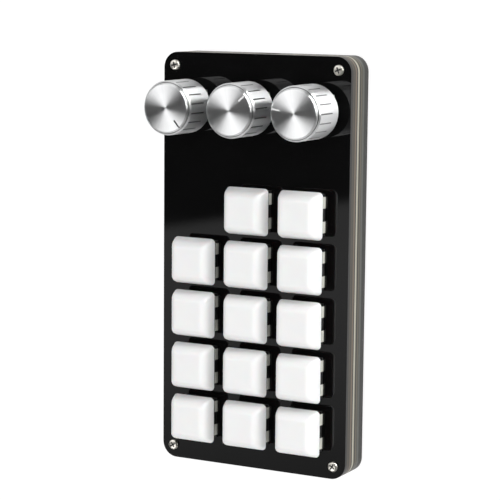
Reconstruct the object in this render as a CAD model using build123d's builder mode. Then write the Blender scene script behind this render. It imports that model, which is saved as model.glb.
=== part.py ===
from build123d import *

import os
from math import atan, cos, degrees, radians, sin, tan

# A macro keypad with fourteen keys and three push-and-turn knobs, in millimetres and degrees.
# It lies on its back: keys and knobs face up, +Y points at the knobs, and the desk is at z = 0.

# Driving dimensions of the layered case
panel_width = 80
panel_length = 160
panel_corner = 6
plate_thick = 3
upper_spacer_thick = 3
board_thick = 1.6
lower_spacer_thick = 4.4
spacer_wall = 6
corner_block = 10.5

# Driving dimensions of the fasteners and feet
screw_inset = 5
screw_diameter = 2
screw_head_diameter = 4
screw_head_height = 1.3
screw_reach = 7
screw_hole_gap = 0.1
standoff_flats = 4
standoff_gap = 0.05
hole_sides = 8
foot_size = 8
foot_height = 2
foot_inset = 13

# Driving dimensions of the key field
key_columns = 3
key_rows = 5
key_side_inset = 17.15
key_end_inset = 18.1
key_pitch_y = 20.7

# Driving dimensions of a keycap, with heights counted from the face of the front plate
cap_skirt_height = 5.5
cap_top_height = 11.7
cap_skirt_width = 18
cap_side_draft = 17.7
cap_corner = 2.4
cap_corner_turns = (22.5, 45, 67.5)
cap_top_width = 12.2
cap_top_depth = 11.5
cap_top_corner = 2
cap_bevel = 43
cap_roof = 1.3
cap_skirt_wall = 1.2
cap_bay_draft = 24
socket_width = 5.5
cross_length = 4.1
cross_width = 1.25
cross_gap = 0.03

# Driving dimensions of a key switch, with heights counted from the face of the front plate
switch_cutout = 14
switch_body = 13.9
switch_depth = 5
switch_floor = 1
flange_width = 14.6
flange_length = 15.6
flange_height = 1
housing_base_length = 14
housing_top_width = 11
housing_top_height = 6.1
housing_roof = 1.1
housing_bay = 9.8
slider_width = 6.6
slider_length = 5.8
slider_gap = 0.3
slider_low = 0.3
slider_high = 6.3
slider_stop_width = 9
slider_stop_gap = 0.05
slider_roof = 1.3
spring_pocket = 4.7
spring_diameter = 4.4
spring_sides = 6
cross_high = 9.9
pin_width = 1.2
pin_thick = 0.4
pin_places = ((-3.81, 2.54), (2.54, 5.08))

# Driving dimensions of a knob, with heights counted from the face of the front plate
knob_side_inset = 13
knob_end_inset = 20.3
knob_base_height = 5
knob_top_height = 21
knob_radius = 10.3
knob_face_radius = 8.95
face_bevel_radius = 9.5
face_bevel_drop = 0.45
groove_drop = 1.05
rim_drop = 1.65
flute_count = 18
flute_width = 0.5
flute_low = 9.8
flute_high = 19
pointer_inner = 5.8
pointer_outer = 9.7
pointer_width = 0.7
pointer_depth = 0.3
pointer_angles = (-50, 42, 170)
flute_angles = (10, 6, 0.5)
bore_end_gap = 0.5

# Driving dimensions of a rotary encoder, with heights counted from the face of the front plate
encoder_width = 12
encoder_cutout = 12.6
encoder_case_height = 5
encoder_bay = 9.6
encoder_floor = 1.2
bracket_thick = 1.4
bushing_diameter = 7
bushing_sides = 12
knob_press = 0.5
press_gap = 0.3
shaft_diameter = 6
shaft_gap = 0.05
shaft_seat_gap = 0.02
shaft_low = -4.2
journal_low = -0.6
shaft_top_height = 16
shaft_flat = 4.5
shaft_flat_start = 0.4
shaft_key = 3
rotor_diameter = 9
rotor_low = -2.8
rotor_thick = 1.5
dome_diameter = 4.4
dome_height = 0.55
inner_sides = 8

# Driving dimensions of the parts below the board
usb_width = 8.94
usb_height = 3.2
usb_corner = 0.9
usb_depth = 7.3
usb_wall = 0.3
usb_tongue_width = 6.7
usb_tongue_thick = 0.7
usb_back = 0.8
usb_tongue_setback = 1
usb_notch = 9.6
usb_setback = 0.6
chip_width = 7
chip_height = 1

# Levels of the stack, from the desk upwards
back_z = foot_height
lower_z = back_z + plate_thick
board_z = lower_z + lower_spacer_thick
upper_z = board_z + board_thick
front_z = upper_z + upper_spacer_thick
face_z = front_z + plate_thick

screw_span_x = panel_width - 2 * screw_inset
screw_span_y = panel_length - 2 * screw_inset
knob_pitch = panel_width / 2 - knob_side_inset
knob_row_y = panel_length / 2 - knob_end_inset
knob_places = [(step * knob_pitch, knob_row_y) for step in (-1, 0, 1)]


def key_place(row, column):
    """Centre of a key; rows count down from the knobs and columns from the left, both from 1."""
    across = (column - 1) / (key_columns - 1)
    x = (across - 0.5) * (panel_width - 2 * key_side_inset)
    y = key_end_inset - panel_length / 2 + (key_rows - row) * key_pitch_y
    return x, y


# The first place of the first row has no key.
keys = {}
for row in range(1, key_rows + 1):
    for column in range(1, key_columns + 1):
        if (row, column) != (1, 1):
            keys[f"row{row}_col{column}"] = key_place(row, column)


def save(piece, name):
    piece.part.label = name
    export_step(piece.part, f"parts/{name}.step")


def panel_outline():
    RectangleRounded(panel_width, panel_length, panel_corner)


def make_front_plate():
    with BuildPart() as plate:
        with BuildSketch(Plane.XY.offset(front_z)):
            panel_outline()
            with Locations(*keys.values()):
                Rectangle(switch_cutout, switch_cutout, mode=Mode.SUBTRACT)
            with Locations(*knob_places):
                Rectangle(encoder_cutout, encoder_cutout, mode=Mode.SUBTRACT)
            with GridLocations(screw_span_x, screw_span_y, 2, 2):
                RegularPolygon(
                    screw_diameter / 2 + screw_hole_gap, hole_sides, major_radius=False, mode=Mode.SUBTRACT
                )
        extrude(amount=plate_thick)
    save(plate, "front_plate")


def make_back_plate():
    with BuildPart() as plate:
        with BuildSketch(Plane.XY.offset(back_z)):
            panel_outline()
            standoff_holes()
        extrude(amount=plate_thick)
    save(plate, "back_plate")


def spacer_frame():
    """A frame with a block in each corner, which holds a standoff in a six-sided hole."""
    inner_width = panel_width - 2 * spacer_wall
    inner_length = panel_length - 2 * spacer_wall
    panel_outline()
    Rectangle(inner_width, panel_length - 2 * corner_block, mode=Mode.SUBTRACT)
    Rectangle(panel_width - 2 * corner_block, inner_length, mode=Mode.SUBTRACT)
    standoff_holes()


def standoff_holes():
    with GridLocations(screw_span_x, screw_span_y, 2, 2):
        RegularPolygon(standoff_flats / 2 + standoff_gap, 6, major_radius=False, mode=Mode.SUBTRACT)


def make_upper_spacer():
    with BuildPart() as spacer:
        with BuildSketch(Plane.XY.offset(upper_z)):
            spacer_frame()
        extrude(amount=upper_spacer_thick)
    save(spacer, "upper_spacer")


def make_lower_spacer():
    with BuildPart() as spacer:
        with BuildSketch(Plane.XY.offset(lower_z)):
            spacer_frame()
            with Locations((0, panel_length / 2)):
                Rectangle(usb_notch, 3 * spacer_wall, mode=Mode.SUBTRACT)
        extrude(amount=lower_spacer_thick)
    save(spacer, "lower_spacer")


def make_circuit_board():
    with BuildPart() as board:
        with BuildSketch(Plane.XY.offset(board_z)):
            panel_outline()
            standoff_holes()
        extrude(amount=board_thick)
    save(board, "circuit_board")


def make_screws():
    """Four pan-head screws, which stand on the front plate and run down into the standoffs."""
    with BuildPart() as screws:
        with BuildSketch(Plane.XY.offset(face_z)):
            with GridLocations(screw_span_x, screw_span_y, 2, 2):
                Circle(screw_head_diameter / 2)
        extrude(amount=screw_head_height)
        with BuildSketch(Plane.XY.offset(face_z)):
            with GridLocations(screw_span_x, screw_span_y, 2, 2):
                RegularPolygon(screw_diameter / 2, hole_sides, major_radius=False)
        extrude(amount=-screw_reach)
    save(screws, "front_screws")


def make_standoffs():
    """Six-sided standoffs, pressed into the back plate and flush with its underside."""
    with BuildPart() as standoffs:
        with BuildSketch(Plane.XY.offset(back_z)):
            with GridLocations(screw_span_x, screw_span_y, 2, 2):
                RegularPolygon(standoff_flats / 2, 6, major_radius=False)
                RegularPolygon(
                    screw_diameter / 2 + standoff_gap, hole_sides, major_radius=False, mode=Mode.SUBTRACT
                )
        extrude(amount=front_z - back_z)
    save(standoffs, "standoffs")


def make_feet():
    with BuildPart() as feet:
        with BuildSketch(Plane.XY):
            with GridLocations(panel_width - 2 * foot_inset, panel_length - 2 * foot_inset, 2, 2):
                Rectangle(foot_size, foot_size)
        extrude(amount=foot_height)
    save(feet, "rubber_feet")


def make_lower_housings():
    """The lower half of every switch: a cup through the plate, with a flange that rests on its face."""
    with BuildPart() as housings:
        with BuildSketch(Plane.XY.offset(face_z - switch_depth)):
            with Locations(*keys.values()):
                Rectangle(switch_body, switch_body)
        extrude(amount=switch_depth)
        with BuildSketch(Plane.XY.offset(face_z)):
            with Locations(*keys.values()):
                Rectangle(flange_width, flange_length)
        extrude(amount=flange_height)
        with BuildSketch(Plane.XY.offset(face_z - switch_depth + switch_floor)):
            with Locations(*keys.values()):
                Rectangle(housing_bay, housing_bay)
        extrude(amount=switch_depth - switch_floor + flange_height, mode=Mode.SUBTRACT)
    save(housings, "switch_lower_housings")


def make_upper_housings():
    """The upper half of every switch: a tapered hood, open below, with a hole for the slider."""
    hood_height = housing_top_height - flange_height
    side_slope = (flange_width - housing_top_width) / 2 / hood_height
    with BuildPart() as housings:
        with BuildSketch(Plane.XY.offset(face_z + flange_height)):
            with Locations(*keys.values()):
                Rectangle(flange_width, housing_base_length)
        extrude(amount=hood_height, taper=degrees(atan(side_slope)))
        with BuildSketch(Plane.XY.offset(face_z + flange_height)):
            with Locations(*keys.values()):
                Rectangle(housing_bay, housing_bay)
        extrude(amount=hood_height - housing_roof, mode=Mode.SUBTRACT)
        with BuildSketch(Plane.XY.offset(face_z + housing_top_height)):
            with Locations(*keys.values()):
                Rectangle(slider_width + 2 * slider_gap, slider_length + 2 * slider_gap)
        extrude(amount=-2 * housing_roof, mode=Mode.SUBTRACT)
    save(housings, "switch_upper_housings")


def make_springs():
    """The return spring of every switch, as the room that its coil fills."""
    floor = face_z - switch_depth + switch_floor
    with BuildPart() as springs:
        with BuildSketch(Plane.XY.offset(floor)):
            with Locations(*keys.values()):
                RegularPolygon(spring_diameter / 2, spring_sides)
        extrude(amount=face_z + slider_high - slider_roof - floor)
    save(springs, "switch_springs")


def make_pins():
    """Two flat contacts under every switch, which stand on the board."""
    with BuildPart() as pins:
        with BuildSketch(Plane.XY.offset(upper_z)):
            for x, y in keys.values():
                with Locations(*[(x + dx, y + dy) for dx, dy in pin_places]):
                    Rectangle(pin_width, pin_thick)
        extrude(amount=face_z - switch_depth - upper_z)
    save(pins, "switch_pins")


def make_slider(name, x, y):
    """The moving part of a switch: a hollow slider that stops under the hood, with a cross on top."""
    stop_high = housing_top_height - housing_roof - slider_stop_gap
    with BuildPart() as slider:
        with BuildSketch(Plane((x, y, face_z + slider_low))):
            Rectangle(slider_stop_width, slider_length)
        extrude(amount=stop_high - slider_low)
        with BuildSketch(Plane((x, y, face_z + stop_high))):
            Rectangle(slider_width, slider_length)
        extrude(amount=slider_high - stop_high)
        with BuildSketch(Plane((x, y, face_z + slider_low))):
            Rectangle(spring_pocket, spring_pocket)
        extrude(amount=slider_high - slider_roof - slider_low, mode=Mode.SUBTRACT)
        with BuildSketch(Plane((x, y, face_z + slider_high))):
            Rectangle(cross_length, cross_width)
            Rectangle(cross_width, cross_length)
        extrude(amount=cross_high - slider_high)
    save(slider, name)


def make_keycap(name, x, y):
    """A keycap: a tapered shell with a bevelled top, and a cross socket that stands on the slider.

    Each corner is rounded off by three flats, which lie against the corner's radius.
    """
    roof_z = face_z + cap_top_height - cap_roof
    cap_height = cap_top_height - cap_skirt_height
    bevel_spread = 2 * cap_height * tan(radians(cap_bevel))
    top_flat = (cap_top_width + cap_top_depth - 4 * cap_top_corner) / 2**0.5 + 2 * cap_top_corner
    skirt_bay = cap_skirt_width - 2 * cap_skirt_wall
    with BuildPart() as cap:
        with BuildSketch(Plane((x, y, face_z + cap_skirt_height))):
            Rectangle(cap_skirt_width, cap_skirt_width)
        extrude(amount=cap_height, taper=cap_side_draft)
        for turn in cap_corner_turns:
            spread = cos(radians(turn)) + sin(radians(turn))
            flat = cap_skirt_width * spread - 2 * cap_corner * (spread - 1)
            with BuildSketch(Plane((x, y, face_z + cap_skirt_height))):
                Rectangle(flat, flat, rotation=turn)
            corner_draft = degrees(atan(tan(radians(cap_side_draft)) * spread))
            extrude(amount=cap_height, taper=corner_draft, mode=Mode.INTERSECT)
        with BuildSketch(Plane((x, y, face_z + cap_skirt_height))):
            Rectangle(cap_top_width + bevel_spread, cap_top_depth + bevel_spread)
        extrude(amount=cap_height, taper=cap_bevel, mode=Mode.INTERSECT)
        with BuildSketch(Plane((x, y, face_z + cap_skirt_height))):
            Rectangle(top_flat + bevel_spread, top_flat + bevel_spread, rotation=45)
        extrude(amount=cap_height, taper=cap_bevel, mode=Mode.INTERSECT)
        with BuildSketch(Plane((x, y, face_z + cap_skirt_height))):
            Rectangle(skirt_bay, skirt_bay)
        extrude(amount=cap_height - cap_roof, taper=cap_bay_draft, mode=Mode.SUBTRACT)
        with BuildSketch(Plane((x, y, face_z + slider_high))):
            Rectangle(socket_width, socket_width)
            Rectangle(cross_length + cross_gap, cross_width + cross_gap, mode=Mode.SUBTRACT)
            Rectangle(cross_width + cross_gap, cross_length + cross_gap, mode=Mode.SUBTRACT)
        extrude(amount=roof_z - face_z - slider_high)
    save(cap, name)


def upright(x, y, z):
    """The plane of a turned profile: its first direction is the radius and its second is the height."""
    return Plane(origin=(x, y, z), x_dir=(1, 0, 0), z_dir=(0, -1, 0))


def turned(x, y, height, angle):
    """A level plane above a knob's place, whose first direction is the way that the pointer points."""
    direction = (cos(radians(angle)), sin(radians(angle)), 0)
    return Plane(origin=(x, y, face_z + height), x_dir=direction, z_dir=(0, 0, 1))


def shaft_section(gap):
    """A round section with one flat on the side away from the pointer, wider by the gap all round."""
    flat = shaft_flat - shaft_diameter / 2 + gap
    Circle(shaft_diameter / 2 + gap)
    with Locations((-flat - shaft_diameter, 0)):
        Rectangle(2 * shaft_diameter, 2 * shaft_diameter, mode=Mode.SUBTRACT)


def make_knob(name, x, y, angle, flute_angle):
    """A turned knob with a two-step bevelled rim, a fluted grip and a pointer in its face."""
    with BuildPart() as knob:
        with BuildSketch(upright(x, y, face_z)):
            with BuildLine():
                Polyline(
                    (0, knob_base_height),
                    (knob_radius, knob_base_height),
                    (knob_radius, knob_top_height - rim_drop),
                    (face_bevel_radius, knob_top_height - groove_drop),
                    (face_bevel_radius, knob_top_height - face_bevel_drop),
                    (knob_face_radius, knob_top_height),
                    (0, knob_top_height),
                    close=True,
                )
            make_face()
        revolve(axis=Axis((x, y, 0), (0, 0, 1)))
        with BuildSketch(turned(x, y, flute_low, flute_angle)):
            with PolarLocations(knob_radius, flute_count):
                Rectangle(flute_width, flute_width, rotation=45)
        extrude(amount=flute_high - flute_low, mode=Mode.SUBTRACT)
        with BuildSketch(turned(x, y, knob_top_height, angle)):
            with Locations(((pointer_inner + pointer_outer) / 2, 0)):
                Rectangle(pointer_outer - pointer_inner, pointer_width)
        extrude(amount=-pointer_depth, mode=Mode.SUBTRACT)
        with BuildSketch(turned(x, y, knob_base_height, angle)):
            shaft_section(shaft_seat_gap)
        extrude(amount=shaft_top_height + bore_end_gap - knob_base_height, mode=Mode.SUBTRACT)
    save(knob, name)


def make_encoder_shaft(name, x, y, angle):
    """A shaft with a square key below, a round journal in the bushing and one flat along its top."""
    flat_low = knob_base_height - shaft_flat_start
    with BuildPart() as shaft:
        with BuildSketch(turned(x, y, shaft_low, angle)):
            Rectangle(shaft_key, shaft_key)
        extrude(amount=journal_low - shaft_low)
        with BuildSketch(turned(x, y, journal_low, angle)):
            Circle(shaft_diameter / 2)
        extrude(amount=flat_low - journal_low)
        with BuildSketch(turned(x, y, flat_low, angle)):
            shaft_section(0)
        extrude(amount=shaft_top_height - flat_low)
    save(shaft, name)


def make_encoder_rotor(name, x, y, angle):
    """The plate that the shaft turns, and that the shaft slides through when it is pressed."""
    with BuildPart() as rotor:
        with BuildSketch(turned(x, y, rotor_low, angle)):
            RegularPolygon(rotor_diameter / 2, inner_sides)
            Rectangle(shaft_key + 2 * shaft_gap, shaft_key + 2 * shaft_gap, mode=Mode.SUBTRACT)
        extrude(amount=rotor_thick)
    save(rotor, name)


def make_encoder_cases():
    with BuildPart() as cases:
        with BuildSketch(Plane.XY.offset(upper_z)):
            with Locations(*knob_places):
                Rectangle(encoder_width, encoder_width)
        extrude(amount=encoder_case_height)
        with BuildSketch(Plane.XY.offset(upper_z + encoder_floor)):
            with Locations(*knob_places):
                Rectangle(encoder_bay, encoder_bay)
        extrude(amount=encoder_case_height, mode=Mode.SUBTRACT)
    save(cases, "encoder_cases")


def make_encoder_brackets():
    """The cover of each encoder, with the bushing that guides its shaft and clears a pressed knob."""
    bracket_top = upper_z + encoder_case_height + bracket_thick
    bushing_top = face_z + knob_base_height - knob_press - press_gap
    with BuildPart() as brackets:
        with BuildSketch(Plane.XY.offset(upper_z + encoder_case_height)):
            with Locations(*knob_places):
                Rectangle(encoder_width, encoder_width)
        extrude(amount=bracket_thick)
        with BuildSketch(Plane.XY.offset(bracket_top)):
            with Locations(*knob_places):
                RegularPolygon(bushing_diameter / 2, bushing_sides, major_radius=False)
        extrude(amount=bushing_top - bracket_top)
        with BuildSketch(Plane.XY.offset(bushing_top)):
            with Locations(*knob_places):
                Circle(shaft_diameter / 2 + shaft_gap)
        extrude(amount=-panel_width, mode=Mode.SUBTRACT)
    save(brackets, "encoder_brackets")


def make_encoder_domes():
    """The snap dome under each shaft, as the room that it fills."""
    with BuildPart() as domes:
        with BuildSketch(Plane.XY.offset(upper_z + encoder_floor)):
            with Locations(*knob_places):
                RegularPolygon(dome_diameter / 2, inner_sides)
        extrude(amount=dome_height)
    save(domes, "encoder_domes")


def make_usb_socket():
    """The shell of the socket under the board's far edge, and the tongue inside it."""
    front = panel_length / 2 - usb_setback
    with BuildPart() as socket:
        with BuildSketch(upright(0, front, board_z - usb_height / 2)):
            rectangle = Rectangle(usb_width, usb_height)
            chamfer(rectangle.vertices(), usb_corner)
        extrude(amount=usb_depth)
        with BuildSketch(upright(0, front, board_z - usb_height / 2)):
            rectangle = Rectangle(usb_width - 2 * usb_wall, usb_height - 2 * usb_wall)
            chamfer(rectangle.vertices(), usb_corner - usb_wall / 2)
        extrude(amount=usb_depth - usb_back, mode=Mode.SUBTRACT)
        with BuildSketch(upright(0, front - usb_depth + usb_back, board_z - usb_height / 2)):
            Rectangle(usb_tongue_width, usb_tongue_thick)
        extrude(amount=-(usb_depth - usb_back - usb_tongue_setback))
    save(socket, "usb_socket")


def make_controller_chip():
    """The controller stands under the place where the first row has no key."""
    with BuildPart() as chip:
        with BuildSketch(Plane((*key_place(1, 1), board_z - chip_height))):
            Rectangle(chip_width, chip_width)
        extrude(amount=chip_height)
    save(chip, "controller_chip")


os.makedirs("parts", exist_ok=True)
make_front_plate()
make_upper_spacer()
make_circuit_board()
make_lower_spacer()
make_back_plate()
make_screws()
make_standoffs()
make_feet()
make_lower_housings()
make_upper_housings()
make_springs()
make_pins()
for place, (x, y) in keys.items():
    make_slider(f"slider_{place}", x, y)
    make_keycap(f"keycap_{place}", x, y)
make_encoder_cases()
make_encoder_brackets()
make_encoder_domes()
sides = zip(("left", "middle", "right"), knob_places, pointer_angles, flute_angles)
for side, (x, y), angle, flute_angle in sides:
    make_encoder_rotor(f"{side}_rotor", x, y, angle)
    make_encoder_shaft(f"{side}_shaft", x, y, angle)
    make_knob(f"{side}_knob", x, y, angle, flute_angle)
make_usb_socket()
make_controller_chip()
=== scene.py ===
from math import cos, pi, radians, sin

import bpy
from mathutils import Matrix, Vector


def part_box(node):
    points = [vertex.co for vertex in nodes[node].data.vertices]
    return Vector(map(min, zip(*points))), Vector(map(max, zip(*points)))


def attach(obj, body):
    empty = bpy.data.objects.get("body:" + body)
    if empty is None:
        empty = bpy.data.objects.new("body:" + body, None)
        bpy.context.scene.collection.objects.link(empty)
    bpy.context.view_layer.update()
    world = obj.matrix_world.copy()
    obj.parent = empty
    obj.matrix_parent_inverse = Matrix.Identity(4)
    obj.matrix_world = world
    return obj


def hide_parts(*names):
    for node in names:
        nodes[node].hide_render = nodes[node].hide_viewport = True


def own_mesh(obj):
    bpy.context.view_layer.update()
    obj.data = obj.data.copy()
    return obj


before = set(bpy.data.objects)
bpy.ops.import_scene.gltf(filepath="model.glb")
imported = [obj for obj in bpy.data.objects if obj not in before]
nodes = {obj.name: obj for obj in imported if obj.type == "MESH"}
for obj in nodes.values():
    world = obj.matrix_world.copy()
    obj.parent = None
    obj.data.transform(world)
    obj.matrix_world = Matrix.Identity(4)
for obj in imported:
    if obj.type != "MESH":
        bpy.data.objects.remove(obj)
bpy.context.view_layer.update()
print("frame loaded:", len(nodes), "nodes")

mm = 0.001
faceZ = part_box("front_plate")[1].z  # face of the front plate
keyNames = sorted(name[7:] for name in nodes if name.startswith("keycap_"))
knobNames = ["left", "middle", "right"]


def middleOf(node):
    low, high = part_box(node)
    return (low + high) / 2


cameraSettings = {
    "focalPixels": 1936.26,  # fitted to the panel's corners, screws and knobs
    "place": (345.46, 109.54, 646.58),  # millimetres from the middle of the plate's face
    "right": (0.88041, 0.00898, -0.47413),
    "up": (-0.07453, 0.99002, -0.11964),
    "back": (0.46832, 0.14067, 0.87229),
}


def makeCamera(settings):
    data = bpy.data.cameras.new("camera")
    data.sensor_width = 36
    data.lens = settings["focalPixels"] / 500 * 36
    data.clip_start = 0.01
    data.clip_end = 50
    camera = bpy.data.objects.new("camera", data)
    bpy.context.scene.collection.objects.link(camera)
    turn = Matrix((settings["right"], settings["up"], settings["back"])).transposed().to_4x4()
    place = Vector(settings["place"]) * mm + Vector((0, 0, faceZ))
    camera.matrix_world = Matrix.Translation(place) @ turn
    bpy.context.scene.camera = camera


makeCamera(cameraSettings)

lampSettings = [
    # name, place, aim, size, watts, seen in reflections
    ("overheadSoft", (0.10, 0.05, 1.25), (0, 0, 0), (0.9, 0.9), 7.7, False),
    ("cornerSoft", (0.90, 0.96, 0.42), (0, 0, 0), (1.1, 0.6), 9, False),
    ("keySideSoft", (0.10, -1.25, 0.60), (0, 0, 0), (1.1, 0.7), 5, False),
    ("rightSoft", (1.30, 0.19, 0.26), (0, 0, 0), (0.45, 0.5), 2.2, True),
    ("tableGlow", (0.42, 0.0, 0.004), (0.42, 0, 1), (0.5, 0.8), 2.5, True),
]


def makeLamps(rows):
    for name, place, aim, size, watts, seen in rows:
        data = bpy.data.lights.new(name, "AREA")
        data.shape = "RECTANGLE"
        data.size, data.size_y = size
        data.energy = watts
        lamp = bpy.data.objects.new(name, data)
        bpy.context.scene.collection.objects.link(lamp)
        lamp.location = place
        lamp.rotation_euler = (Vector(aim) - Vector(place)).to_track_quat("-Z", "Y").to_euler()
        lamp.visible_glossy = seen


makeLamps(lampSettings)
bpy.context.scene.view_settings.view_transform = "Standard"


class Value:  # a socket that can be used in sums
    def __init__(self, tree, socket):
        self.tree = tree
        self.socket = socket

    def combine(self, operation, *others):
        return self.tree.add("ShaderNodeMath", {"operation": operation}, [self, *others])

    def __add__(self, other):
        return self.combine("ADD", other)

    def __sub__(self, other):
        return self.combine("SUBTRACT", other)

    def __mul__(self, other):
        return self.combine("MULTIPLY", other)

    def __truediv__(self, other):
        return self.combine("DIVIDE", other)

    def __radd__(self, other):
        return self.combine("ADD", other)

    def __rmul__(self, other):
        return self.combine("MULTIPLY", other)

    def __rsub__(self, other):
        return self.tree.add("ShaderNodeMath", {"operation": "SUBTRACT"}, [other, self])

    def clamped(self):
        return self.tree.add("ShaderNodeClamp", {}, [self])


class Finish:  # one material and the nodes in it
    def __init__(self, name, world=False):
        if world:
            self.owner = bpy.data.worlds.new(name)
            bpy.context.scene.world = self.owner
        else:
            self.owner = bpy.data.materials.new(name)
        self.owner.use_nodes = True
        self.nodes = self.owner.node_tree.nodes
        self.links = self.owner.node_tree.links
        self.nodes.clear()
        kind = "ShaderNodeOutputWorld" if world else "ShaderNodeOutputMaterial"
        self.output = self.nodes.new(kind)

    def add(self, kind, settings=None, sockets=None, out=0):
        node = self.nodes.new(kind)
        for key, value in (settings or {}).items():
            if key == "stops":
                self.setStops(node, value)
            else:
                setattr(node, key, value)
        pairs = sockets.items() if isinstance(sockets, dict) else enumerate(sockets or [])
        for key, value in pairs:
            self.feed(node.inputs[key], value)
        return Value(self, node.outputs[out])

    def setStops(self, node, stops):
        ramp = node.color_ramp.elements
        while len(ramp) < len(stops):
            ramp.new(0.5)
        for element, (place, colour) in zip(ramp, stops):
            element.position = place
            element.color = (*colour, 1)

    def feed(self, socket, value):
        if isinstance(value, Value):
            self.links.new(value.socket, socket)
        elif socket.type == "RGBA" and len(value) == 3:
            socket.default_value = (*value, 1)
        else:
            socket.default_value = value

    def objectPlace(self, offset=(0, 0, 0), scale=(1, 1, 1)):
        place = self.add("ShaderNodeTexCoord", out="Object")
        if offset == (0, 0, 0) and scale == (1, 1, 1):
            return place
        return self.add(
            "ShaderNodeMapping", {}, {"Vector": place, "Location": offset, "Scale": scale}
        )

    def noise(self, place, scale, detail=3.0, roughness=0.5):
        return self.add("ShaderNodeTexNoise", {}, {
            "Vector": place, "Scale": scale, "Detail": detail, "Roughness": roughness,
        })

    def blend(self, factor, first, second):
        node = self.nodes.new("ShaderNodeMix")
        node.data_type = "RGBA"
        self.feed(node.inputs["Factor"], factor)
        colours = [socket for socket in node.inputs if socket.type == "RGBA"]
        self.feed(colours[0], first)
        self.feed(colours[1], second)
        result = [socket for socket in node.outputs if socket.type == "RGBA"][0]
        return Value(self, result)

    def bump(self, height, strength, distance):
        return self.add(
            "ShaderNodeBump", {}, {"Height": height, "Strength": strength, "Distance": distance}
        )

    def surface(self, sockets):
        shader = self.add("ShaderNodeBsdfPrincipled", {}, sockets)
        self.links.new(shader.socket, self.output.inputs["Surface"])
        return self.owner


studioSettings = {
    "dark": 0.03,  # what the plate mirrors beside the knobs
    "card": 0.72,  # a grey card over the keys, which the plate mirrors
    # where the card starts and is full, and where it is last full and ends
    "cardAcross": (-0.62, -0.55, -0.37, -0.30),
    "cardAlong": (-0.27, -0.08, -0.048, -0.041),
    "cardLean": -0.167,
    # each end's glow: way along Y, where it starts and is full, least and full height, strength
    "glows": [(1, 0.21, 0.38, 0.25, 0.50, 1.9), (-1, 0.12, 0.21, 0.45, 0.65, 3.0)],
    "glowLean": -0.34,  # turns the dark between the glows, and with it the wedges on the knobs
    "glowAcross": (-0.15, 0.12),  # they end on the right, where the knobs' ghosts would show them
    # low lights beside the knobs: bearing of both sides in degrees, softness, strength
    "sectors": [(9, 66, 0.07, 33.0), (-3, 9, 0.05, 9.0), (-88, -25, 0.15, 1.4)],
    "sectorTop": (0.08, 0.24),  # they thin out at this height
    "fill": 0.40,  # even light for everything but reflections
}


def makeStudio(settings):
    # white where the camera sees it, and in reflections dark, with a card, two glows and sectors
    world = Finish("studio", world=True)
    direction = world.add("ShaderNodeTexCoord", out="Generated")
    across = world.add("ShaderNodeSeparateXYZ", {}, [direction], out="X")
    along = world.add("ShaderNodeSeparateXYZ", {}, [direction], out="Y")
    upward = world.add("ShaderNodeSeparateXYZ", {}, [direction], out="Z")

    def ramp(value, start, full, top=1.0):
        return world.add(
            "ShaderNodeMapRange", {"interpolation_type": "SMOOTHSTEP"},
            {"Value": value, "From Min": start, "From Max": full, "To Max": top},
        )

    def band(value, start, full, full2, end):
        return ramp(value, start, full) * (1 - ramp(value, full2, end))

    leaning = along + across * settings["cardLean"]
    card = band(across, *settings["cardAcross"]) * band(leaning, *settings["cardAlong"])
    light = card * (settings["card"] - settings["dark"]) + settings["dark"]
    leftward = 1 - ramp(across, *settings["glowAcross"])
    turned = along + across * settings["glowLean"]
    for way, start, full, lowest, highest, glow in settings["glows"]:
        brightness = ramp(upward, lowest, highest) * ramp(turned * way, start, full, glow)
        light = light + brightness * leftward
    low = 1 - ramp(upward, *settings["sectorTop"])
    for first, last, soft, strength in settings["sectors"]:
        # a bearing of the sky between two upright planes through the middle
        past = along * cos(radians(first)) - across * sin(radians(first))
        before = across * sin(radians(last)) - along * cos(radians(last))
        light = light + ramp(past, 0, soft) * ramp(before, 0, soft, strength) * low
    mirrored = world.add("ShaderNodeLightPath", out="Is Glossy Ray")
    strength = mirrored * light + (1 - mirrored) * settings["fill"]
    room = world.add("ShaderNodeBackground", {}, {"Color": (1, 1, 1), "Strength": strength})
    white = world.add("ShaderNodeBackground", {}, {"Color": (1, 1, 1), "Strength": 1.0})
    seen = world.add("ShaderNodeLightPath", out="Is Camera Ray")
    mixed = world.add("ShaderNodeMixShader", {}, [seen, room, white])
    world.links.new(mixed.socket, world.output.inputs["Surface"])


makeStudio(studioSettings)


floorSettings = {
    "size": 8,
    "own": 0.8,  # share of its own light that the camera and reflections get
    "glow": 1.12,
    # a painted reflection: reflections see the floor's glow fall dark to the left, as if beside a
    # black card
    "darkEnd": -0.26,
    "paleStart": -0.15,
    "darkLevel": 0.12,
    "paleLevel": 0.9,
}


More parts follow.
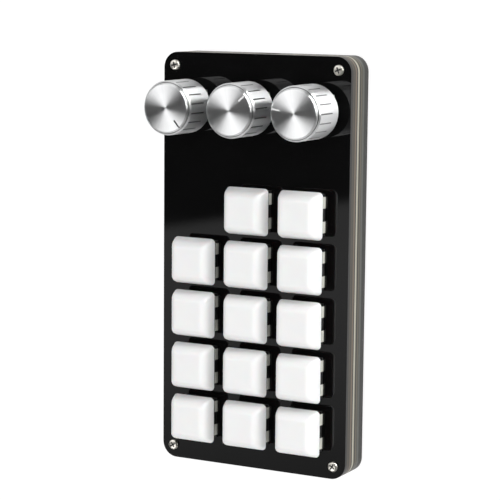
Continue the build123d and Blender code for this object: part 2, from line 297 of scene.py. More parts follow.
def makeFloor(settings):
    bpy.ops.mesh.primitive_plane_add(size=settings["size"], location=(0, 0, 0))
    floor = bpy.context.object
    floor.name = "floor"
    pale = Finish("paleFloor")
    path = pale.add("ShaderNodeLightPath", out="Is Camera Ray")
    glossy = pale.add("ShaderNodeLightPath", out="Is Glossy Ray")
    through = pale.add("ShaderNodeLightPath", out="Is Transmission Ray")
    place = pale.add("ShaderNodeSeparateXYZ", {}, [pale.objectPlace()], out="X")
    # painted reflection: the floor's glow in reflections darkens to the left
    card = pale.add("ShaderNodeMapRange", {"interpolation_type": "SMOOTHSTEP"}, {
        "Value": place, "From Min": settings["darkEnd"], "From Max": settings["paleStart"],
        "To Min": settings["darkLevel"], "To Max": settings["paleLevel"],
    })
    seen = (path + glossy + through).clamped() * settings["own"]
    grain = pale.noise(pale.objectPlace(), 3.0)
    tint = pale.blend(grain, (0.86, 0.86, 0.86), (0.88, 0.88, 0.88))
    cloth = pale.add("ShaderNodeBsdfDiffuse", {}, {"Color": tint})
    level = path + (1 - path) * card
    glow = pale.add("ShaderNodeEmission", {}, {
        "Color": (1, 1, 1), "Strength": level * settings["glow"],
    })
    mixed = pale.add("ShaderNodeMixShader", {}, [seen, cloth, glow])
    pale.links.new(mixed.socket, pale.output.inputs["Surface"])
    floor.data.materials.append(pale.owner)


makeFloor(floorSettings)
print("camera, lamps and floor made")


filmStart, filmFull = 1.5 * mm, 2.0 * mm  # where the tan film shows, down from the plate's face


def glossBlack():
    sheet = Finish("glossBlackSheet")
    place = sheet.objectPlace()
    smudge = sheet.noise(place, 45.0, 4.0)
    facing = sheet.add("ShaderNodeNewGeometry", out="Normal")
    upward = sheet.add("ShaderNodeSeparateXYZ", {}, [facing], out="Z")
    edge = (1 - upward * upward).clamped()  # the sawn edge is greyer than the polished face
    height = sheet.add("ShaderNodeSeparateXYZ", {}, [place], out="Z")
    film = sheet.add("ShaderNodeMapRange", {}, {
        "Value": height, "From Min": faceZ - filmFull, "From Max": faceZ - filmStart,
        "To Min": 1.0, "To Max": 0.0,
    })
    sawn = sheet.blend(film, (0.012, 0.0115, 0.0105), (0.055, 0.045, 0.033))
    face = sheet.blend(smudge, (0.0022, 0.0022, 0.0023), (0.0036, 0.0036, 0.0037))
    return sheet.surface({
        "Base Color": sheet.blend(edge, face, sawn),
        "Roughness": smudge * 0.02 + 0.018 + edge * 0.4,
        "IOR": 1.42,
        "Normal": sheet.bump(sheet.noise(place, 900.0, 2.0), 0.02, 0.00002),
    })


def sawnSheet(name, stops, lowZ, highZ, roughness):
    # bands across the thickness, drawn out along the sawn edge
    sheet = Finish(name)
    place = sheet.objectPlace()
    height = sheet.add("ShaderNodeSeparateXYZ", {}, [place], out="Z")
    drift = sheet.noise(sheet.objectPlace(scale=(9, 9, 1)), 2.0, 2.0)
    level = (height - lowZ) / (highZ - lowZ) + (drift - 0.5) * 0.16
    bands = sheet.add("ShaderNodeValToRGB", {"stops": stops}, [level])
    streak = sheet.noise(sheet.objectPlace(scale=(14, 14, 2600)), 1.0, 3.0)
    colour = sheet.blend(streak * 0.3, bands, (0.04, 0.036, 0.03))
    return sheet.surface({
        "Base Color": colour,
        "Roughness": streak * 0.12 + roughness,
        "Normal": sheet.bump(streak, 0.12, 0.00005),
        "IOR": 1.4,
    })


def whiteCap():
    cap = Finish("satinWhiteCap")
    place = cap.objectPlace()
    cloud = cap.noise(place, 60.0, 3.0)
    grain = cap.noise(place, 5200.0, 2.0)
    return cap.surface({
        "Base Color": cap.blend(cloud, (0.80, 0.80, 0.80), (0.84, 0.84, 0.835)),
        "Roughness": cloud * 0.08 + 0.36,
        "Normal": cap.bump(grain, 0.06, 0.00002),
        "Subsurface Weight": 0.12,
        "Subsurface Scale": 0.0012,
    })


def moulded(name, dark, light, roughness, grainStrength):
    part = Finish(name)
    place = part.objectPlace()
    cloud = part.noise(place, 220.0, 3.0)
    grain = part.noise(place, 6000.0, 2.0)
    return part.surface({
        "Base Color": part.blend(cloud, dark, light),
        "Roughness": cloud * 0.1 + roughness,
        "Normal": part.bump(grain, grainStrength, 0.00003),
    })


def metal(name, dark, light, roughness, scale=900.0):
    part = Finish(name)
    place = part.objectPlace()
    cloud = part.noise(place, scale, 3.0)
    return part.surface({
        "Base Color": part.blend(cloud, dark, light),
        "Metallic": 1.0,
        "Roughness": cloud * 0.12 + roughness,
        "Normal": part.bump(cloud, 0.05, 0.00002),
    })


ringScale = 9000  # the turning marks, in cycles per metre
rayScale = 7  # the rays around the face


def turnedAluminium(name, centre, settings):
    # fine rings around the knob's own axis, and a sheen that spreads across them
    part = Finish(name)
    place = part.objectPlace(offset=(-centre.x, -centre.y, 0))
    across = part.add("ShaderNodeSeparateXYZ", {}, [place], out="X")
    along = part.add("ShaderNodeSeparateXYZ", {}, [place], out="Y")
    height = part.add("ShaderNodeSeparateXYZ", {}, [place], out="Z")
    radius = part.add("ShaderNodeMath", {"operation": "SQRT"}, [across * across + along * along])
    travel = part.add("ShaderNodeCombineXYZ", {}, [radius * ringScale, height * ringScale, 0.0])
    rings = part.noise(travel, 1.0, 2.0)
    cloud = part.noise(place, 160.0, 2.0)
    # faint rays, because the turning marks aren't all alike
    bearing = [across / radius * rayScale, along / radius * rayScale, 0.0]
    rays = part.noise(part.add("ShaderNodeCombineXYZ", {}, bearing), 1.0, 4.0)
    marks = rings * 0.35 + cloud * 0.2 + rays * 0.45
    return part.surface({
        "Base Color": part.blend(marks, (0.66, 0.67, 0.68), (0.96, 0.96, 0.96)),
        "Metallic": 1.0,
        "Roughness": rings * 0.08 + settings["roughness"],
        "Anisotropic": settings["spread"],
        "Anisotropic Rotation": 0.25,
        "Normal": part.bump(rings, 0.10, 0.000015),
    })


def rubber():
    part = Finish("rubberFoot")
    grain = part.noise(part.objectPlace(), 1800.0, 3.0)
    return part.surface({
        "Base Color": part.blend(grain, (0.012, 0.012, 0.012), (0.03, 0.03, 0.03)),
        "Roughness": grain * 0.15 + 0.7,
        "Normal": part.bump(grain, 0.2, 0.00005),
    })


finishes = {
    "plate": glossBlack(),
    "upper": sawnSheet("smokedUpperSheet", [
        (0.0, (0.006, 0.006, 0.005)), (0.24, (0.02, 0.018, 0.012)), (0.42, (0.17, 0.125, 0.085)),
        (0.70, (0.10, 0.08, 0.055)), (0.88, (0.012, 0.012, 0.011)),
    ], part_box("upper_spacer")[0].z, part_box("upper_spacer")[1].z, 0.35),
    "board": sawnSheet("boardEdge", [
        (0.0, (0.12, 0.11, 0.08)), (0.4, (0.42, 0.40, 0.32)), (1.0, (0.56, 0.54, 0.46)),
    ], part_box("circuit_board")[0].z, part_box("circuit_board")[1].z, 0.5),
    "lower": sawnSheet("smokedLowerSheet", [
        (0.0, (0.02, 0.02, 0.018)), (0.2, (0.085, 0.09, 0.08)), (0.38, (0.09, 0.09, 0.075)),
        (0.5, (0.012, 0.012, 0.01)), (0.64, (0.15, 0.13, 0.09)), (0.84, (0.008, 0.008, 0.007)),
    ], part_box("lower_spacer")[0].z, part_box("lower_spacer")[1].z, 0.35),
    "back": sawnSheet("darkBackSheet", [
        (0.0, (0.008, 0.008, 0.008)), (0.5, (0.02, 0.02, 0.019)), (1.0, (0.010, 0.010, 0.009)),
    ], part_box("back_plate")[0].z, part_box("back_plate")[1].z, 0.4),
    "cap": whiteCap(),
    "switch": moulded("blackSwitch", (0.008, 0.008, 0.008), (0.016, 0.016, 0.016), 0.42, 0.1),
    # painted shade: a darker metal for the flutes and the rim groove of each knob
    "flute": metal("fluteShade", (0.22, 0.22, 0.22), (0.34, 0.34, 0.34), 0.30),
    # painted shade in the cross recess of each screw
    "groove": moulded("grooveShadow", (0.02, 0.02, 0.02), (0.05, 0.05, 0.05), 0.5, 0.05),
    "whitePaint": moulded("whiteLine", (0.80, 0.80, 0.80), (0.88, 0.88, 0.88), 0.4, 0.03),
    # painted shade for the left knob's pointer line
    "paintedPointerShade": moulded("paintedShadeLine", (0.03, 0.03, 0.03), (0.06, 0.06, 0.06), 0.4, 0.03),
    "lug": moulded("ivoryLug", (0.74, 0.74, 0.66), (0.84, 0.84, 0.77), 0.4, 0.08),
    "nickel": metal("nickel", (0.60, 0.58, 0.52), (0.80, 0.77, 0.71), 0.27),
    "steel": metal("satinSteel", (0.42, 0.42, 0.42), (0.60, 0.60, 0.60), 0.3),
    "brass": metal("brass", (0.58, 0.42, 0.17), (0.76, 0.58, 0.27), 0.28),
    "rubber": rubber(),
    "chip": moulded("chipBlack", (0.012, 0.012, 0.012), (0.02, 0.02, 0.02), 0.5, 0.05),
}

nodeFinishes = {
    "front_plate": "plate", "upper_spacer": "upper", "circuit_board": "board",
    "lower_spacer": "lower", "back_plate": "back", "standoffs": "brass",
    "switch_lower_housings": "switch", "switch_upper_housings": "switch",
    "switch_springs": "steel", "switch_pins": "brass", "encoder_cases": "switch",
    "encoder_brackets": "steel", "encoder_domes": "steel", "controller_chip": "chip",
    "front_screws": "nickel", "rubber_feet": "rubber", "usb_socket": "steel",
}
for name in knobNames:
    nodeFinishes[name + "_shaft"] = "steel"
    nodeFinishes[name + "_rotor"] = "switch"
for name in keyNames:
    nodeFinishes["slider_" + name] = "switch"
    nodeFinishes["keycap_" + name] = "cap"


def dress(piece, material):
    piece.data.materials.clear()
    piece.data.materials.append(material)


for name, finish in nodeFinishes.items():
    dress(nodes[name], finishes[finish])
print("finishes made")


def clearSelection():
    if bpy.context.object and bpy.context.object.mode != "OBJECT":
        bpy.ops.object.mode_set(mode="OBJECT")
    bpy.ops.object.select_all(action="DESELECT")


def startPiece(name, material):
    piece = bpy.context.object
    piece.name = name
    dress(piece, material)
    bpy.ops.object.transform_apply(location=True, rotation=True, scale=True)
    return piece


def work(piece):
    clearSelection()
    piece.select_set(True)
    bpy.context.view_layer.objects.active = piece
    bpy.ops.object.mode_set(mode="EDIT")
    bpy.ops.mesh.select_mode(type="FACE")
    bpy.ops.mesh.select_all(action="DESELECT")


def pick(piece, test, parts="polygons"):
    bpy.ops.mesh.select_mode(type="FACE" if parts == "polygons" else "VERT")
    bpy.ops.mesh.select_all(action="DESELECT")
    bpy.ops.object.mode_set(mode="OBJECT")
    for item in getattr(piece.data, parts):
        item.select = test(item)
    bpy.ops.object.mode_set(mode="EDIT")


def raiseBy(dz, widthScale=1.0, depthScale=1.0):
    bpy.ops.mesh.extrude_region_move(TRANSFORM_OT_translate={"value": (0, 0, dz)})
    bpy.ops.transform.resize(value=(widthScale, depthScale, 1))


def closeHoles():
    bpy.ops.mesh.select_all(action="SELECT")
    bpy.ops.mesh.fill_holes(sides=0)
    bpy.ops.mesh.normals_make_consistent(inside=False)


def leave(piece, smoothAngle=None):
    bpy.ops.object.mode_set(mode="OBJECT")
    if smoothAngle is not None:
        bpy.ops.object.shade_smooth_by_angle(angle=radians(smoothAngle))


def finishModifier(piece, kind, settings):
    clearSelection()
    piece.select_set(True)
    bpy.context.view_layer.objects.active = piece
    modifier = piece.modifiers.new(kind.lower(), kind)
    for key, value in settings.items():
        setattr(modifier, key, value)
    bpy.ops.object.modifier_apply(modifier=modifier.name)


def cutAway(piece, cutter):
    finishModifier(piece, "BOOLEAN", {
        "operation": "DIFFERENCE", "object": cutter, "solver": "EXACT", "material_mode": "TRANSFER",
    })
    bpy.data.objects.remove(cutter)


def moveMesh(piece, place, angle=0.0):
    piece.data.transform(Matrix.Translation(place) @ Matrix.Rotation(angle, 4, "Z"))


def joinPieces(first, others):
    clearSelection()
    for other in others:
        other.select_set(True)
    first.select_set(True)
    bpy.context.view_layer.objects.active = first
    bpy.ops.object.join()
    return first


def copyPiece(piece, name):
    twin = bpy.data.objects.new(name, piece.data.copy())
    bpy.context.scene.collection.objects.link(twin)
    return twin


capSettings = {
    "cornerCut": 1.6,  # rounds a corner to a radius of 2.3
    "cornerSteps": 7,
    "wall": 1.1,
    # height over the plate, width and depth, in millimetres
    "rings": [
        (5.5, 17.7, 17.7), (5.7, 18.0, 18.0), (7.0, 17.3, 17.2), (8.5, 16.45, 16.2),
        (9.6, 15.55, 15.1), (10.3, 14.8, 14.2), (10.8, 14.1, 13.35), (11.2, 13.3, 12.5),
        (11.45, 12.6, 11.8), (11.62, 11.9, 11.1), (11.7, 11.1, 10.3),
    ],
    "dish": 0.12,
    "dishSteps": [(0.6, 0.75), (0.4, 0.5)],  # share of its depth, and width to the ring before
    "post": (6.3, 10.5, 2.75),  # foot and top over the plate, and radius
    "crossSlot": (4.13, 1.28, 3.7),  # length, width and height
    "crossMiddle": 1.75,  # over the post's foot
}


def makeCap(settings):
    # a plane with round corners, raised ring by ring and then given its wall
    rings = settings["rings"]
    clearSelection()
    low, width, depth = rings[0]
    bpy.ops.mesh.primitive_plane_add(size=1, location=(0, 0, low * mm))
    bpy.context.object.scale = (width * mm, depth * mm, 1)
    cap = startPiece("keycapShape", finishes["cap"])
    work(cap)
    pick(cap, lambda vertex: True, "vertices")
    bpy.ops.mesh.bevel(
        affect="VERTICES", offset=settings["cornerCut"] * mm, segments=settings["cornerSteps"]
    )
    pick(cap, lambda face: True)
    for (z0, w0, d0), (z1, w1, d1) in zip(rings, rings[1:]):
        raiseBy((z1 - z0) * mm, w1 / w0, d1 / d0)
    for share, scale in settings["dishSteps"]:
        raiseBy(-settings["dish"] * mm * share, scale, scale)
    # the first raise leaves the plane itself behind, which would close the cap below
    floorLevel = (low + 0.05) * mm
    pick(cap, lambda face: face.center.z < floorLevel and abs(face.normal.z) > 0.9)
    bpy.ops.mesh.delete(type="FACE")
    leave(cap)
    finishModifier(cap, "SOLIDIFY", {"thickness": settings["wall"] * mm, "offset": -1})
    cap = joinPieces(cap, [makePost(settings)])
    bpy.ops.object.shade_smooth_by_angle(angle=radians(40))
    return cap


def makePost(settings):
    # the round post inside the cap, with the slot that stands on the slider's cross
    low, high, radius = [size * mm for size in settings["post"]]
    length, width, height = [size * mm for size in settings["crossSlot"]]
    bpy.ops.mesh.primitive_cylinder_add(
        vertices=40, radius=radius, depth=high - low, location=(0, 0, (low + high) / 2)
    )
    post = startPiece("socketPost", finishes["cap"])
    slotLevel = low + settings["crossMiddle"] * mm
    for size in ((length, width, height), (width, length, height)):
        bpy.ops.mesh.primitive_cube_add(size=1, location=(0, 0, slotLevel))
        bpy.context.object.scale = size
        bpy.ops.object.transform_apply(scale=True)
        cutAway(post, bpy.context.object)
    return post


capShape = makeCap(capSettings)
for name in keyNames:
    middle = middleOf("keycap_" + name)
    cap = copyPiece(capShape, "cap_" + name)
    moveMesh(cap, Vector((middle.x, middle.y, faceZ)))
    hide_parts("keycap_" + name)
    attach(cap, "key_" + name)
bpy.data.objects.remove(capShape)
print("keycaps made:", len(keyNames))

lugSettings = {
    "inner": 6.6,
    "reach": 7.45,
    "start": 2.45,
    "end": 6.8,
    "height": 1.75,
    "edge": 0.12,
    "lean": 0.12,  # of the outer face
    "leanFrom": 0.5,
}


def makeLugs(settings):
    # the pale clips of every switch, two on each side, which hold its hood on the flange
    clearSelection()
    width = settings["reach"] - settings["inner"]
    length = settings["end"] - settings["start"]
    bpy.ops.mesh.primitive_cube_add(size=1, location=(0, 0, faceZ + settings["height"] * mm / 2))
    bpy.context.object.scale = (width * mm, length * mm, settings["height"] * mm)
    lug = startPiece("lugShape", finishes["lug"])
    work(lug)
    # the outer face leans in towards its top
    leanLevel = faceZ + settings["leanFrom"] * mm
    pick(lug, lambda vertex: vertex.co.x > 0 and vertex.co.z > leanLevel, "vertices")
    bpy.ops.transform.translate(value=(-settings["lean"] * mm, 0, 0))
    bpy.ops.mesh.select_all(action="SELECT")
    bpy.ops.mesh.bevel(offset=settings["edge"] * mm, segments=2, affect="EDGES")
    leave(lug, 40)
    sideways = (settings["reach"] + settings["inner"]) / 2 * mm
    lengthways = (settings["start"] + settings["end"]) / 2 * mm
    copies = []
    for name in keyNames:
        middle = middleOf("keycap_" + name)
        for side in (-1, 1):
            for end in (-1, 1):
                twin = copyPiece(lug, f"lug_{name}_{side}_{end}")
                place = Vector((middle.x + side * sideways, middle.y + end * lengthways, 0))
                moveMesh(twin, place, 0 if side > 0 else pi)
                copies.append(twin)
    bpy.data.objects.remove(lug)
    lugs = joinPieces(copies[0], copies[1:])
    lugs.name = "switchLugs"
    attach(lugs, "base")


makeLugs(lugSettings)
print("switch lugs made")

knobSettings = {
    "sideSheen": {"roughness": 0.29, "spread": 0.96},
    "faceSheen": {"roughness": 0.27, "spread": 0.97},
    "sides": 252,
    "base": 5.0,
    "top": 21.0,
    "radius": 10.3,
    "rimDrop": 1.65,
    "stepRadius": 9.78,
    "stepDrop": 1.1,
    "grooveRadius": 9.45,
    "grooveDrop": 1.3,
    "bevelDrop": 0.45,
    "faceRadius": 8.95,
    "fluteLow": 9.8,
    "fluteHigh": 19.0,
    "fluteDepth": 0.42,
    "fluteEase": 0.1,  # over which a flute runs out at both ends
    "fluteEvery": 14,  # sides between two flutes
    "skirtLine": 5.35,  # an edge line just over the foot
    "faceInset": 0.05,
    "faceRise": 0.02,
    "hollowWall": 1.6,
    "hollowDepth": 0.8,
    "boreRadius": 3.02,
    "boreDepth": 11.5,
    "pointerInner": 5.8,
    "pointerOuter": 9.75,
    "pointerWidth": 0.62,
    "pointerDepth": 0.3,
    "pointers": {"left": -50, "middle": 42, "right": 170},
    # white paint on the middle and right pointers; the left pointer's dark line is painted shade
    "pointerColours": {"left": "paintedPointerShade", "middle": "whitePaint", "right": "whitePaint"},
    "flutes": {"left": 10, "middle": 6, "right": 0.5},
}


def makeKnob(name, settings):
    clearSelection()
    sides = settings["sides"]
    centre = middleOf(name + "_knob")
    rim = settings["top"] - settings["rimDrop"]
    bpy.ops.mesh.primitive_cylinder_add(
        vertices=sides, radius=settings["radius"] * mm, depth=(rim - settings["base"]) * mm,
        location=(0, 0, (rim + settings["base"]) / 2 * mm), rotation=(0, 0, 0),
    )
    sideFinish = turnedAluminium(name + "TurnedSide", centre, settings["sideSheen"])
    knob = startPiece(name + "Knob", sideFinish)
    work(knob)
    low, high, ease = settings["fluteLow"], settings["fluteHigh"], settings["fluteEase"]
    for level in (settings["skirtLine"], low, low + ease, high - ease, high):
        bpy.ops.mesh.select_all(action="SELECT")
        bpy.ops.mesh.bisect(plane_co=(0, 0, level * mm), plane_no=(0, 0, 1))
    # one line of vertices in fourteen is pushed in, which makes the V-shaped flutes
    step = 2 * pi / sides
    inLow = (low + ease / 2) * mm
    inHigh = (high - ease / 2) * mm

    def onFlute(vertex):
        if not inLow < vertex.co.z < inHigh:
            return False
        flute = vertex.co.xy.angle_signed(Vector((1, 0))) / step / settings["fluteEvery"]
        return abs(flute - round(flute)) < 0.01

    pick(knob, onFlute, "vertices")
    inward = 1 - settings["fluteDepth"] / settings["radius"]
    bpy.ops.transform.resize(value=(inward, inward, 1))
    # the rim: second bevel, groove, upright step, face bevel
    pick(knob, lambda face: face.normal.z > 0.9)
    step1 = settings["stepRadius"] / settings["radius"]
    raiseBy((settings["rimDrop"] - settings["stepDrop"]) * mm, step1, step1)
    step2 = settings["grooveRadius"] / settings["stepRadius"]
    raiseBy((settings["stepDrop"] - settings["grooveDrop"]) * mm)
    raiseBy(0, step2, step2)
    raiseBy((settings["grooveDrop"] - settings["bevelDrop"]) * mm)
    step3 = settings["faceRadius"] / settings["grooveRadius"]
    raiseBy(settings["bevelDrop"] * mm, step3, step3)
    bpy.ops.mesh.inset(thickness=settings["faceInset"] * mm, depth=settings["faceRise"] * mm)
    stepLevel = (settings["top"] - settings["stepDrop"]) * mm
    knob.data.materials.append(turnedAluminium(name + "SpunFace", centre, settings["faceSheen"]))
    knob.active_material_index = 1
    pick(knob, lambda face: face.center.z > stepLevel)
    bpy.ops.object.material_slot_assign()
    knob.data.materials.append(finishes["flute"])
    knob.active_material_index = 2
    fluteFloor = (settings["radius"] - 0.1) * mm
    grooveInner = settings["grooveRadius"] * 0.99 * mm
    grooveOuter = settings["stepRadius"] * mm

    def inFlute(face):
        upright = abs(face.normal.z) < 0.5
        return upright and face.center.z < inHigh and face.center.xy.length < fluteFloor

    def inGroove(face):
        between = grooveInner < face.center.xy.length < grooveOuter
        return between and face.center.z < stepLevel + 0.1 * mm

    # the flutes and the rim groove take the darker metal, as painted shade
    for shaded in (inFlute, inGroove):
        pick(knob, shaded)
        bpy.ops.object.material_slot_assign()
    # the hollow under the knob
    pick(knob, lambda face: face.normal.z < -0.9)
    bpy.ops.mesh.inset(thickness=settings["hollowWall"] * mm)
    raiseBy(settings["hollowDepth"] * mm)
    leave(knob)
    moveMesh(knob, (0, 0, 0), radians(settings["flutes"][name]))
    cutPointer(knob, settings, settings["pointers"][name], finishes[settings["pointerColours"][name]])
    cutBore(knob, settings)
    bpy.ops.object.shade_smooth_by_angle(angle=radians(14))
    moveMesh(knob, Vector((centre.x, centre.y, faceZ)))
    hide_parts(name + "_knob")
    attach(knob, name + "_pressing")


def cutPointer(knob, settings, angle, pointerFinish):
    middle = (settings["pointerInner"] + settings["pointerOuter"]) / 2 * mm
    length = (settings["pointerOuter"] - settings["pointerInner"]) * mm
    bpy.ops.mesh.primitive_cube_add(size=1, location=(0, 0, 0))
    cutter = bpy.context.object
    cutter.scale = (length, settings["pointerWidth"] * mm, settings["pointerDepth"] * 2 * mm)
    bpy.ops.object.transform_apply(scale=True)
    place = Matrix.Translation((middle, 0, settings["top"] * mm))
    cutter.data.transform(Matrix.Rotation(radians(angle), 4, "Z") @ place)
    dress(cutter, pointerFinish)
    cutAway(knob, cutter)


def cutBore(knob, settings):
    bpy.ops.mesh.primitive_cylinder_add(
        vertices=48, radius=settings["boreRadius"] * mm, depth=settings["boreDepth"] * mm,
        location=(0, 0, (settings["base"] + settings["boreDepth"] / 2) * mm),
    )
    cutter = bpy.context.object
    bpy.ops.object.transform_apply(location=True)
    cutAway(knob, cutter)


for name in knobNames:
    makeKnob(name, knobSettings)
print("knobs made")

screwSettings = {
    "headRadius": 2.0,
    "rimHeight": 0.75,
    "crown": [(0.22, 0.93), (0.16, 0.86), (0.12, 0.72)],  # rise and width to the ring before
    "headHeight": 1.25,
    "shankRadius": 0.98,
    "reach": 7.0,
    "slotLength": 2.5,
    "slotWidth": 0.55,
    "slotDepth": 0.75,
    "turns": [35, 12, 58, 20],
}


def makeScrews(settings):
    # domed heads with a cross recess, each turned its own way as a driver leaves them
    low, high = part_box("front_screws")
    places = [(x, y) for x in (low.x, high.x) for y in (low.y, high.y)]
    inset = settings["headRadius"] * mm
    made = []
    for (x, y), turn in zip(places, settings["turns"]):
        clearSelection()
        bpy.ops.mesh.primitive_cylinder_add(
            vertices=48, radius=inset, depth=settings["rimHeight"] * mm,
            location=(0, 0, settings["rimHeight"] * mm / 2),
        )
        screw = startPiece("screwShape", finishes["nickel"])
        work(screw)
        pick(screw, lambda face: face.normal.z > 0.9)
        for rise, scale in settings["crown"]:
            raiseBy(rise * mm, scale, scale)
        pick(screw, lambda face: face.normal.z < -0.9)
        bpy.ops.mesh.inset(thickness=(settings["headRadius"] - settings["shankRadius"]) * mm)
        raiseBy(-settings["reach"] * mm)
        leave(screw)
        length, width = settings["slotLength"] * mm, settings["slotWidth"] * mm
        for size in ((length, width), (width, length)):
            bpy.ops.mesh.primitive_cube_add(size=1, location=(0, 0, settings["headHeight"] * mm))
            cutter = bpy.context.object
            cutter.scale = (*size, settings["slotDepth"] * 2 * mm)
            # the recess takes the dark finish, painted shade in its hollow
            dress(cutter, finishes["groove"])
            bpy.ops.object.transform_apply(location=True, scale=True)
            cutAway(screw, cutter)
        bpy.ops.object.shade_smooth_by_angle(angle=radians(35))
        sideX = x + inset if x < 0 else x - inset
        sideY = y + inset if y < 0 else y - inset
        moveMesh(screw, Vector((sideX, sideY, faceZ)), radians(turn))
        made.append(screw)
    screws = joinPieces(made[0], made[1:])
    screws.name = "frontScrews"
    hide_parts("front_screws")
    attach(screws, "base")


makeScrews(screwSettings)
print("screws made")

socketSettings = {
    "corner": 1.05,  # cut from each corner, which rounds it to a radius of 1.48
    "wall": 0.28,
    "lip": 0.06,
    "hollow": 6.2,
    "tongue": (6.6, 0.62, 5.1),
    "tongueEdge": 0.12,
    "contactWidth": 0.28,
    "contactLength": 3.4,
    "contactBack": 2.2,  # from the tongue's end to a contact's middle
    "contactProud": 0.03,
    "contactCount": 12,
    "contactPitch": 0.5,
}


def makeSocketShell(settings, width, height, depth):
    # drawn lying down with its mouth upwards, and turned to face the far edge afterwards
    clearSelection()
    bpy.ops.mesh.primitive_plane_add(size=1, location=(0, 0, 0))
    bpy.context.object.scale = (width, height, 1)
    shell = startPiece("socketShell", finishes["steel"])
    work(shell)
    pick(shell, lambda vertex: True, "vertices")
    bpy.ops.mesh.bevel(affect="VERTICES", offset=settings["corner"] * mm, segments=8)
    pick(shell, lambda face: True)
    raiseBy(depth - settings["lip"] * mm)
    raiseBy(settings["lip"] * mm)
    bpy.ops.mesh.inset(thickness=settings["lip"] * mm)
    bpy.ops.mesh.inset(thickness=(settings["wall"] - settings["lip"]) * mm)
    raiseBy(-settings["hollow"] * mm)
    closeHoles()
    leave(shell, 35)
    return shell


def makeTongue(settings, depth):
    clearSelection()
    width, thick, length = [size * mm for size in settings["tongue"]]
    floorLevel = depth - settings["hollow"] * mm
    bpy.ops.mesh.primitive_cube_add(size=1, location=(0, 0, floorLevel + length / 2))
    bpy.context.object.scale = (width, thick, length)
    tongue = startPiece("socketTongue", finishes["switch"])
    work(tongue)
    bpy.ops.mesh.select_all(action="SELECT")
    bpy.ops.mesh.bevel(offset=settings["tongueEdge"] * mm, segments=3, affect="EDGES")
    leave(tongue, 35)
    contacts = []
    level = floorLevel + length - settings["contactBack"] * mm
    contactSize = (
        settings["contactWidth"] * mm, settings["contactProud"] * 2 * mm,
        settings["contactLength"] * mm,
    )
    for side in (-1, 1):
        for place in range(settings["contactCount"]):
            across = (place - (settings["contactCount"] - 1) / 2) * settings["contactPitch"] * mm
            clearSelection()
            bpy.ops.mesh.primitive_cube_add(size=1, location=(across, side * thick / 2, level))
            bpy.context.object.scale = contactSize
            contacts.append(startPiece("socketContact", finishes["brass"]))
    return [tongue, *contacts]


def makeUsbSocket(settings):
    low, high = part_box("usb_socket")
    width, depth, height = high - low
    shell = makeSocketShell(settings, width, height, depth)
    socket = joinPieces(shell, makeTongue(settings, depth))
    socket.name = "socket"
    socket.data.transform(Matrix.Rotation(-pi / 2, 4, "X"))
    moveMesh(socket, Vector(((low.x + high.x) / 2, low.y, (low.z + high.z) / 2)))
    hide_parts("usb_socket")
    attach(socket, "base")


makeUsbSocket(socketSettings)
print("socket made")

footSettings = {
    "size": 8,
    "corner": 1.0,
    # height over the desk and width, as shares of the foot's own size
    "rings": [(0.0, 0.90), (0.08, 0.96), (0.2, 1.0), (0.9, 1.0), (1.0, 0.97)],
}


def makeFeet(settings):
    low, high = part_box("rubber_feet")
    size = settings["size"] * mm
    made = []
    for x in (low.x + size / 2, high.x - size / 2):
        for y in (low.y + size / 2, high.y - size / 2):
            clearSelection()
            bpy.ops.mesh.primitive_plane_add(size=1, location=(0, 0, 0))
            firstSize = size * settings["rings"][0][1]
            bpy.context.object.scale = (firstSize, firstSize, 1)
            foot = startPiece("footShape", finishes["rubber"])
            work(foot)
            pick(foot, lambda vertex: True, "vertices")
            bpy.ops.mesh.bevel(affect="VERTICES", offset=settings["corner"] * mm, segments=6)
            pick(foot, lambda face: True)
            for (z0, w0), (z1, w1) in zip(settings["rings"], settings["rings"][1:]):
                raiseBy((z1 - z0) * high.z, w1 / w0, w1 / w0)
            closeHoles()
            leave(foot, 40)
            moveMesh(foot, Vector((x, y, 0)))
            made.append(foot)
    feet = joinPieces(made[0], made[1:])
    feet.name = "feet"
    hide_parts("rubber_feet")
    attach(feet, "base")


makeFeet(footSettings)
print("feet made")

springSettings = {
    "wire": 0.32,
    "outer": 4.2,  # over the coil
    "turns": 7,
    "steps": 18,  # corners in one turn
    "gap": 0.02,  # under the slider
    "travel": 4.0,
}


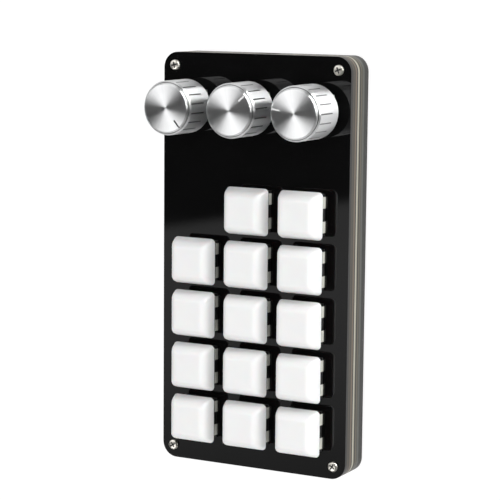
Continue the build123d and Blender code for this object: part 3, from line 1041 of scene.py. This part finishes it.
def makeSprings(settings):
    # one coil is drawn on the middle and copied to every switch
    low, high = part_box("switch_springs")
    wire = settings["wire"] * mm
    tall = high.z - low.z - settings["gap"] * mm
    clearSelection()
    middleRadius = (settings["outer"] * mm - wire) / 2
    bpy.ops.mesh.primitive_circle_add(
        vertices=8, radius=wire / 2, location=(middleRadius, 0, wire / 2), rotation=(pi / 2, 0, 0)
    )
    coil = startPiece("springShape", finishes["steel"])
    finishModifier(coil, "SCREW", {
        "iterations": settings["turns"], "screw_offset": (tall - wire) / settings["turns"],
        "steps": settings["steps"], "render_steps": settings["steps"],
    })
    work(coil)
    closeHoles()
    leave(coil, 50)
    for name in keyNames:
        middle = middleOf("slider_" + name)
        foot = Vector((middle.x, middle.y, low.z))
        spring = copyPiece(coil, "spring_" + name)
        moveMesh(spring, foot)
        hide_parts("switch_springs")
        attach(spring, "base")
        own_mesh(spring)
    bpy.data.objects.remove(coil)


makeSprings(springSettings)
print("springs made:", len(keyNames))

domeSettings = {
    "radius": 2.0,
    "sheet": 0.06,
    "gap": 0.01,  # under the shaft
    "travel": 0.5,
    # share of the height and of the radius
    "rings": [(0.0, 1.0), (0.3, 0.96), (0.7, 0.80), (0.92, 0.52), (1.0, 0.22)],
}


def makeDomes(settings):
    # the snap dome under each shaft, a thin sheet
    low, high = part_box("encoder_domes")
    tall = high.z - low.z - settings["gap"] * mm
    for name in knobNames:
        middle = middleOf(name + "_shaft")
        foot = Vector((middle.x, middle.y, low.z))
        clearSelection()
        bpy.ops.mesh.primitive_circle_add(
            vertices=36, radius=settings["radius"] * mm, fill_type="NGON", location=(0, 0, 0)
        )
        dome = startPiece("dome_" + name, finishes["steel"])
        work(dome)
        pick(dome, lambda face: True)
        for (z0, r0), (z1, r1) in zip(settings["rings"], settings["rings"][1:]):
            raiseBy((z1 - z0) * tall, r1 / r0, r1 / r0)
        pick(dome, lambda face: face.center.z < 0.01 * mm and abs(face.normal.z) > 0.9)
        bpy.ops.mesh.delete(type="FACE")
        leave(dome)
        finishModifier(dome, "SOLIDIFY", {"thickness": settings["sheet"] * mm, "offset": -1})
        bpy.ops.object.shade_smooth_by_angle(angle=radians(40))
        moveMesh(dome, foot)
        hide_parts("encoder_domes")
        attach(dome, "base")
        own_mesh(dome)


makeDomes(domeSettings)
print("domes made")
